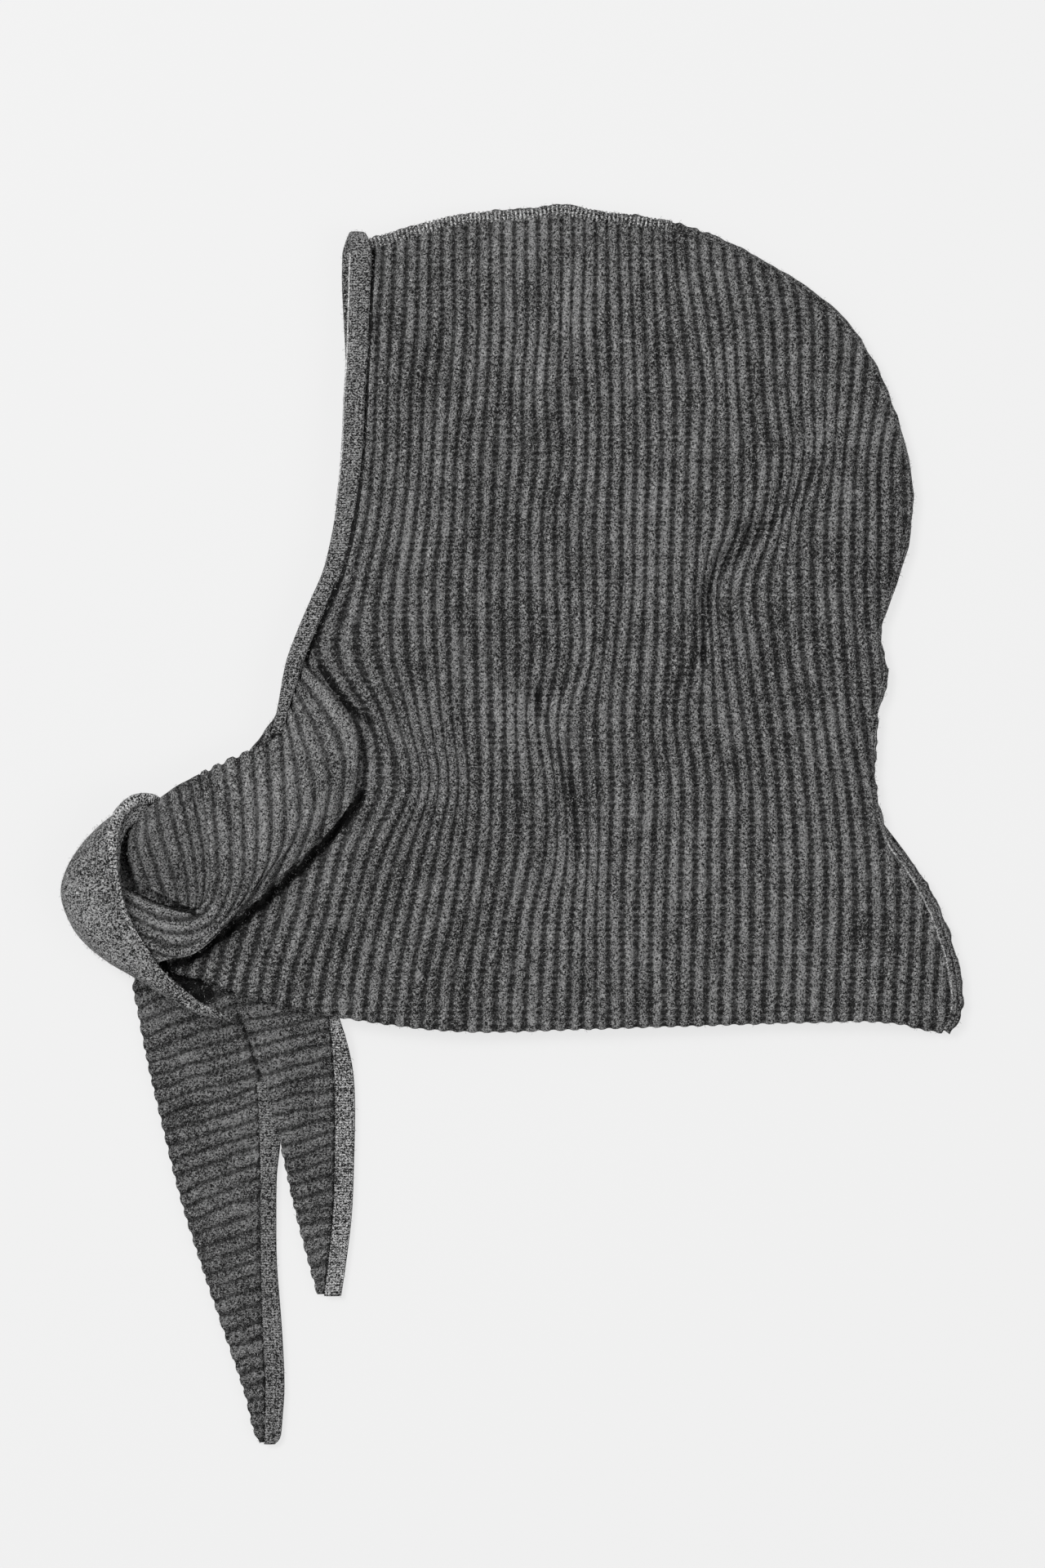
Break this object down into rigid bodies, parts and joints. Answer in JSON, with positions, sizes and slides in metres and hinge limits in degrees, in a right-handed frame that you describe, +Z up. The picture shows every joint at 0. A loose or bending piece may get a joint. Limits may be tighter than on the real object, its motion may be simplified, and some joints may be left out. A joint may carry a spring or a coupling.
{
  "type": "snood hood",
  "caption": "Ribbed grey wool hood lying flat on its side, with a fine-knit band round the face opening and two pointed ties knotted in front of the throat.",
  "frame": {"origin": "middle of the footprint, on the floor that the wearer's right side lies on", "axes": "+X to the back of the head, +Y to the crown, +Z up, from the wearer's right side to the left side"},
  "size_m": [0.4196, 0.5766, 0.031],
  "materials": {
    "wool_left_side": "matt, felted wool knit",
    "wool_right_side": "matt, felted wool knit",
    "wool_centre_seam": "matt, felted wool knit",
    "wool_face_band": "matt, felted wool knit",
    "wool_left_tie": "matt, felted wool knit",
    "wool_right_tie": "matt, felted wool knit",
    "wool_knot_wrap": "matt, felted wool knit",
    "wool_long_tie_end": "matt, felted wool knit",
    "wool_short_tie_end": "matt, felted wool knit",
    "wool_long_end_band": "matt, felted wool knit",
    "wool_short_end_band": "matt, felted wool knit"
  },
  "bodies": {
    "root": {"left_side": "wool_left_side", "right_side": "wool_right_side", "centre_seam": "wool_centre_seam", "face_band": "wool_face_band", "left_tie": "wool_left_tie", "right_tie": "wool_right_tie", "knot_wrap": "wool_knot_wrap", "long_tie_end": "wool_long_tie_end", "short_tie_end": "wool_short_tie_end", "long_end_band": "wool_long_end_band", "short_end_band": "wool_short_end_band"}
  },
  "joints": []
}
